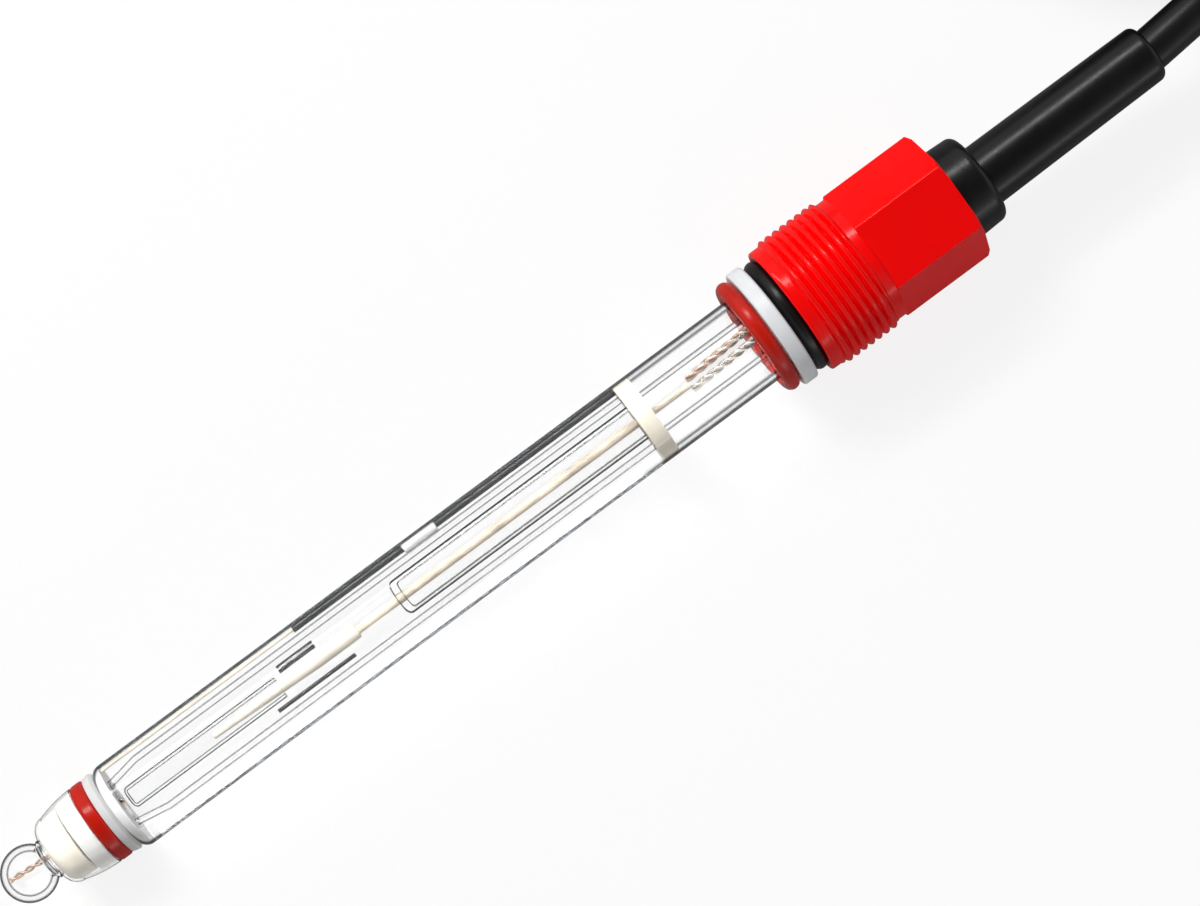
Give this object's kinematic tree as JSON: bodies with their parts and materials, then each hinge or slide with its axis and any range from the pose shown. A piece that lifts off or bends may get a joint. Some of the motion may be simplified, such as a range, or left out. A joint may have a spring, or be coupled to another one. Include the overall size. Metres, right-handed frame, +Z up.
{
  "type": "ph electrode",
  "caption": "Glass combination pH electrode with a bulb tip, red threaded hex gland, seals, black strain relief, coiled cable and a bayonet plug.",
  "frame": {"origin": "on the floor, under the middle of the electrode's box, the cable left out", "axes": "+X from the bulb towards the head, +Z up; the electrode lies on its glass shoulder and its first thread"},
  "size_m": [0.2472, 0.0864, 0.0193],
  "materials": {
    "shaft_glass": "clear, polished",
    "stem_glass": "clear, polished",
    "skirt_glass": "clear, polished",
    "ivory": "satin",
    "white_ptfe": "satin, slightly translucent",
    "septum_cream": "satin",
    "red_silicone": "satin",
    "dark_rod": "satin",
    "silver_wire": "tarnished",
    "black_rubber": "satin",
    "red_plastic": "gloss",
    "black_plastic": "satin",
    "cable_jacket": "satin",
    "nickel": "plated",
    "gold": "plated"
  },
  "bodies": {
    "electrode": {"shaft_tube": "shaft_glass", "stem_and_bulb": "stem_glass", "nose_skirt": "skirt_glass", "ivory_cup": "ivory", "front_ring": "white_ptfe", "nose_gasket": "red_silicone", "rear_ring": "white_ptfe", "junction_disc": "white_ptfe", "bulb_wire": "silver_wire", "capillary_tube": "stem_glass", "inner_wick": "ivory", "contact_pin": "dark_rod", "filler_tip": "dark_rod", "inner_lead": "ivory", "guard_tube": "stem_glass", "stem_plug": "septum_cream", "terminal_pins": "silver_wire", "septum": "septum_cream", "thread_wick": "ivory", "reference_rod": "dark_rod", "reference_collar": "white_ptfe", "red_o_ring": "red_silicone", "thrust_washer": "white_ptfe", "black_o_ring": "black_rubber", "head_body": "black_plastic", "head_collar": "black_plastic", "strain_relief": "black_rubber", "cable_near": "cable_jacket", "cable_far": "cable_jacket", "cable_coil": "cable_jacket", "plug_boot": "black_rubber", "plug_ferrule": "nickel", "plug_body": "nickel", "plug_insulator": "white_ptfe", "plug_pin": "gold"},
    "gland": {"gland": "red_plastic"},
    "plug_ring": {"plug_ring": "nickel"}
  },
  "joints": [
    {"name": "gland_turn", "type": "hinge", "parent": "electrode", "child": "gland", "pos_m": [0.04362, 0, 0.00981], "axis": [0.9994, 0, 0.0332], "continuous": true},
    {"name": "plug_ring_turn", "type": "hinge", "parent": "electrode", "child": "plug_ring", "pos_m": [0.05449, 0.06857, 0.0082], "axis": [-0.9831, -0.086, 0.1614], "continuous": true}
  ]
}
